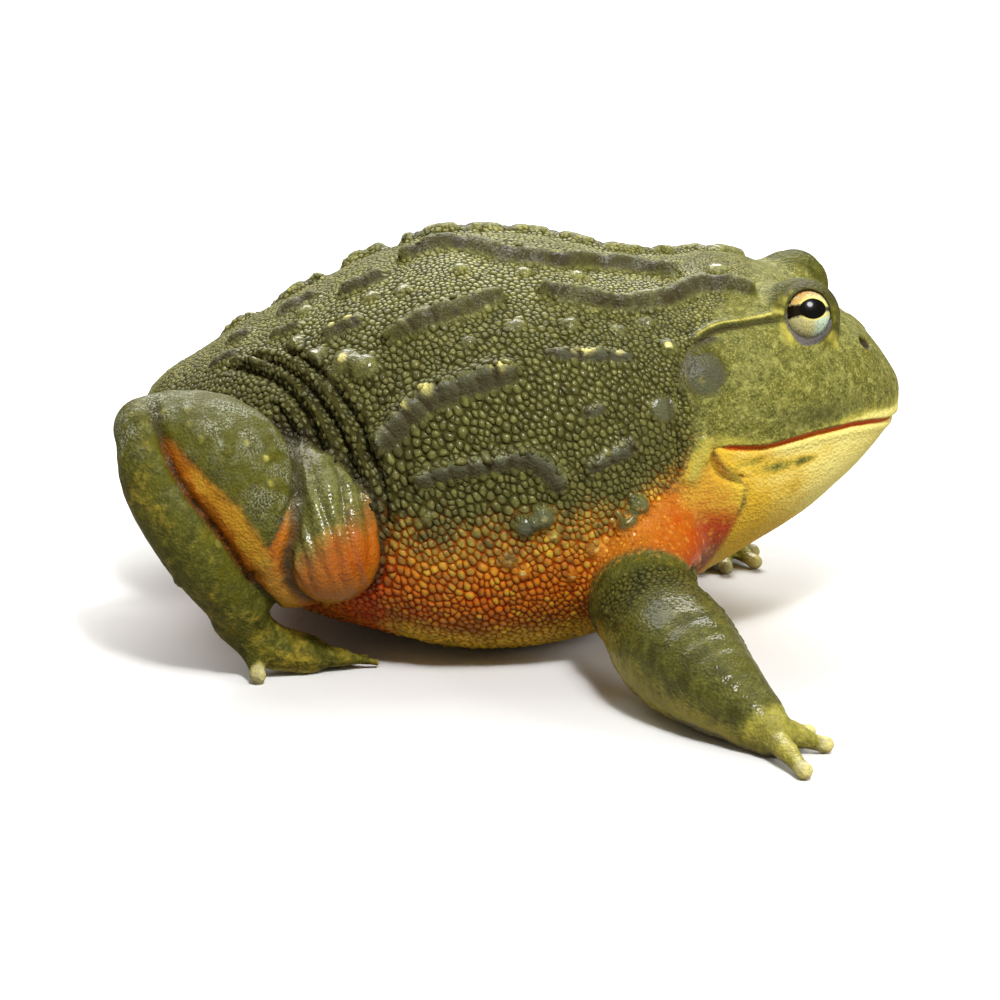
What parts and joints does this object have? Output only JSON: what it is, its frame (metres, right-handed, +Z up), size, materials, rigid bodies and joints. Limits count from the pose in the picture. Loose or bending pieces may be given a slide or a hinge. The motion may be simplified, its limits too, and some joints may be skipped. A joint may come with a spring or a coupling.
{
  "type": "african bullfrog",
  "caption": "Life-size still model of an adult male African bullfrog, squatting on its belly with its arms spread to the floor.",
  "frame": {"origin": "under the middle of the belly, on the flat that the frog rests on", "axes": "+X to the snout, +Y to the frog's left, +Z up"},
  "size_m": [0.1713, 0.185, 0.0885],
  "materials": {
    "back_skin": "moist, pebbled olive-brown skin",
    "throat_skin": "moist, smooth yellow skin",
    "limb_skin": "wet, mottled olive and yellow skin",
    "eardrum_skin": "thin grey-olive skin",
    "eye": "wet clear eye with a golden cream iris and a black pupil"
  },
  "bodies": {
    "root": {"eye_right": "eye", "ear_right": "eardrum_skin", "eye_left": "eye", "ear_left": "eardrum_skin", "head": "back_skin", "jaw": "throat_skin", "trunk": "back_skin", "upper_arm_right": "back_skin", "forearm_right": "limb_skin", "hand_right": "limb_skin", "thigh_right": "back_skin", "shank_right": "limb_skin", "tarsus_right": "limb_skin", "foot_right": "limb_skin", "upper_arm_left": "back_skin", "forearm_left": "limb_skin", "hand_left": "limb_skin", "thigh_left": "back_skin", "shank_left": "limb_skin", "tarsus_left": "limb_skin", "foot_left": "limb_skin"}
  },
  "joints": []
}
